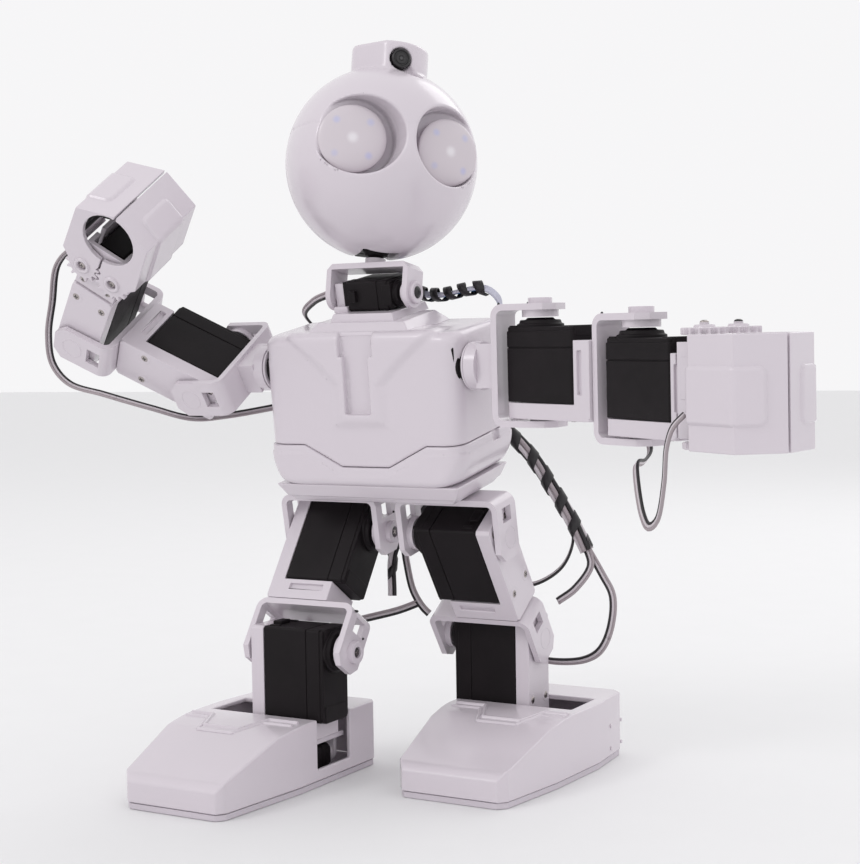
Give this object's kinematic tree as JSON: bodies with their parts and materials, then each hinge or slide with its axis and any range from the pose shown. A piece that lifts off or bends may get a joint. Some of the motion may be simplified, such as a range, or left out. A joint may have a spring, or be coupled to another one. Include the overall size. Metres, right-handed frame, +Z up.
{
  "type": "humanoid robot kit",
  "caption": "Small humanoid robot on servo-driven arms and legs, with geared gripper hands, a ball head with large eyes and a boxy white torso, posed with one fist raised.",
  "frame": {"origin": "on the floor, under the middle of the robot's bounding box, its cables left out", "axes": "+Z up, the robot faces -Y, and its left side is +X"},
  "size_m": [0.3555, 0.1788, 0.315],
  "materials": {
    "white_shell": "moulded white ABS, semi-gloss",
    "servo_case": "fine-textured black nylon",
    "eye_diffuser": "frosted white acrylic",
    "camera_glass": "black camera lens",
    "sole_rubber": "off-white rubber, matte",
    "cable_jacket": "black and light grey flat servo leads",
    "battery_wrap": "dark heat-shrink sleeve"
  },
  "bodies": {
    "torso": {"chest_shell": "white_shell", "waist_shell": "white_shell", "back_panel": "white_shell", "controller_unit": "servo_case", "battery_pack": "battery_wrap", "right_shoulder_servo": "servo_case", "left_shoulder_servo": "servo_case", "neck_servo": "servo_case", "right_hip_bracket": "white_shell", "left_hip_bracket": "white_shell", "head_cable": "cable_jacket", "right_arm_cable": "cable_jacket", "leg_harness": "cable_jacket"},
    "power_switch": {"power_switch": "servo_case"},
    "neck": {"neck_bracket": "white_shell"},
    "head": {"head_front_shell": "white_shell", "head_rear_shell": "white_shell", "right_eye_lens": "eye_diffuser", "left_eye_lens": "eye_diffuser", "camera_lens": "camera_glass", "head_servo": "servo_case"},
    "right_shoulder": {"right_shoulder_bracket": "white_shell"},
    "right_upper_arm": {"right_upper_arm_servo": "servo_case", "right_upper_arm_cover": "white_shell", "right_elbow_bracket": "white_shell"},
    "right_forearm": {"right_forearm_servo": "servo_case", "right_forearm_cover": "white_shell", "right_gripper_frame": "white_shell", "right_gripper_servo": "servo_case"},
    "right_driven_jaw": {"right_driven_jaw": "white_shell"},
    "right_idle_jaw": {"right_idle_jaw": "white_shell"},
    "right_thigh": {"right_thigh_servo": "servo_case", "right_thigh_cover": "white_shell", "right_knee_bracket": "white_shell"},
    "right_shin": {"right_shin_servo": "servo_case", "right_shin_cover": "white_shell", "right_ankle_bracket": "white_shell"},
    "right_foot": {"right_ankle_servo": "servo_case", "right_foot_shell": "white_shell", "right_foot_sole": "sole_rubber"},
    "left_shoulder": {"left_shoulder_bracket": "white_shell"},
    "left_upper_arm": {"left_upper_arm_servo": "servo_case", "left_upper_arm_cover": "white_shell", "left_elbow_bracket": "white_shell", "left_arm_cable": "cable_jacket"},
    "left_forearm": {"left_forearm_servo": "servo_case", "left_forearm_cover": "white_shell", "left_gripper_frame": "white_shell", "left_gripper_servo": "servo_case"},
    "left_driven_jaw": {"left_driven_jaw": "white_shell"},
    "left_idle_jaw": {"left_idle_jaw": "white_shell"},
    "left_thigh": {"left_thigh_servo": "servo_case", "left_thigh_cover": "white_shell", "left_knee_bracket": "white_shell"},
    "left_shin": {"left_shin_servo": "servo_case", "left_shin_cover": "white_shell", "left_ankle_bracket": "white_shell"},
    "left_foot": {"left_ankle_servo": "servo_case", "left_foot_shell": "white_shell", "left_foot_sole": "sole_rubber"}
  },
  "joints": [
    {"name": "power_switch", "type": "hinge", "parent": "torso", "child": "power_switch", "pos_m": [-0.06466, 0.03021, 0.15715], "axis": [1, 0, 0], "range_deg": [0, 10]},
    {"name": "neck_tilt", "type": "hinge", "parent": "torso", "child": "neck", "pos_m": [-0.03166, -0.00208, 0.20844], "axis": [1, 0, 0], "range_deg": [-4, 35], "deforming": ["head_cable"]},
    {"name": "head_pan", "type": "hinge", "parent": "neck", "child": "head", "pos_m": [-0.03166, 0.00649, 0.26379], "axis": [0, 0.153, 0.9882], "range_deg": [-128, 31], "deforming": ["head_cable"]},
    {"name": "right_shoulder_pitch", "type": "hinge", "parent": "torso", "child": "right_shoulder", "pos_m": [-0.09366, -0.00488, 0.17749], "axis": [1, 0, 0], "range_deg": [-90, 60], "deforming": ["right_arm_cable"]},
    {"name": "right_shoulder_swing", "type": "hinge", "parent": "right_shoulder", "child": "right_upper_arm", "pos_m": [-0.11186, -0.00488, 0.17749], "axis": [0, 0.8377, 0.5461], "range_deg": [-60, 5], "deforming": ["right_arm_cable"]},
    {"name": "right_elbow", "type": "hinge", "parent": "right_upper_arm", "child": "right_forearm", "pos_m": [-0.16078, -0.02592, 0.20097], "axis": [0, 0.8377, 0.5461], "range_deg": [-120, 5], "deforming": ["right_arm_cable"]},
    {"name": "right_gripper", "type": "hinge", "parent": "right_forearm", "child": "right_driven_jaw", "pos_m": [-0.12418, -0.0453, 0.22466], "axis": [0, 0.8377, 0.5461], "range_deg": [0, 40]},
    {"name": "right_idle_jaw", "type": "hinge", "parent": "right_forearm", "child": "right_idle_jaw", "pos_m": [-0.13546, -0.05069, 0.23293], "axis": [0, 0.8377, 0.5461], "range_deg": [-40, 0]},
    {"name": "left_shoulder_pitch", "type": "hinge", "parent": "torso", "child": "left_shoulder", "pos_m": [0.03034, -0.00488, 0.17749], "axis": [1, 0, 0], "range_deg": [-110, 10]},
    {"name": "left_shoulder_swing", "type": "hinge", "parent": "left_shoulder", "child": "left_upper_arm", "pos_m": [0.04854, -0.00488, 0.17749], "axis": [0, -0.0209, 0.9998], "range_deg": [-10, 30]},
    {"name": "left_elbow", "type": "hinge", "parent": "left_upper_arm", "child": "left_forearm", "pos_m": [0.10165, -0.02809, 0.1722], "axis": [0, -0.0209, 0.9998], "range_deg": [-80, 30], "deforming": ["left_arm_cable"]},
    {"name": "left_gripper", "type": "hinge", "parent": "left_forearm", "child": "left_driven_jaw", "pos_m": [0.14564, -0.04618, 0.16852], "axis": [0, -0.0209, 0.9998], "range_deg": [0, 40]},
    {"name": "left_idle_jaw", "type": "hinge", "parent": "left_forearm", "child": "left_idle_jaw", "pos_m": [0.1378, -0.05896, 0.16825], "axis": [0, -0.0209, 0.9998], "range_deg": [-40, 0]},
    {"name": "right_hip", "type": "hinge", "parent": "torso", "child": "right_thigh", "pos_m": [-0.06116, 0.017, 0.10478], "axis": [1, 0, 0], "range_deg": [-25, 60], "deforming": ["leg_harness"]},
    {"name": "right_knee", "type": "hinge", "parent": "right_thigh", "child": "right_shin", "pos_m": [-0.06116, -0.01543, 0.0567], "axis": [1, 0, 0], "range_deg": [-40, 50], "deforming": ["leg_harness"]},
    {"name": "right_ankle", "type": "hinge", "parent": "right_shin", "child": "right_foot", "pos_m": [-0.06116, -0.01543, 0.0091], "axis": [0, 1, 0], "range_deg": [-8, 8]},
    {"name": "left_hip", "type": "hinge", "parent": "torso", "child": "left_thigh", "pos_m": [-0.00216, 0.017, 0.10478], "axis": [1, 0, 0], "range_deg": [-60, 20], "deforming": ["leg_harness"]},
    {"name": "left_knee", "type": "hinge", "parent": "left_thigh", "child": "left_shin", "pos_m": [-0.00216, 0.04943, 0.0567], "axis": [1, 0, 0], "range_deg": [-20, 60], "deforming": ["leg_harness"]},
    {"name": "left_ankle", "type": "hinge", "parent": "left_shin", "child": "left_foot", "pos_m": [-0.00216, 0.04943, 0.0091], "axis": [0, 1, 0], "range_deg": [-8, 8]}
  ],
  "couplings": [
    {"joint": "right_idle_jaw", "follows": "right_gripper", "ratio": -1},
    {"joint": "left_idle_jaw", "follows": "left_gripper", "ratio": -1}
  ]
}
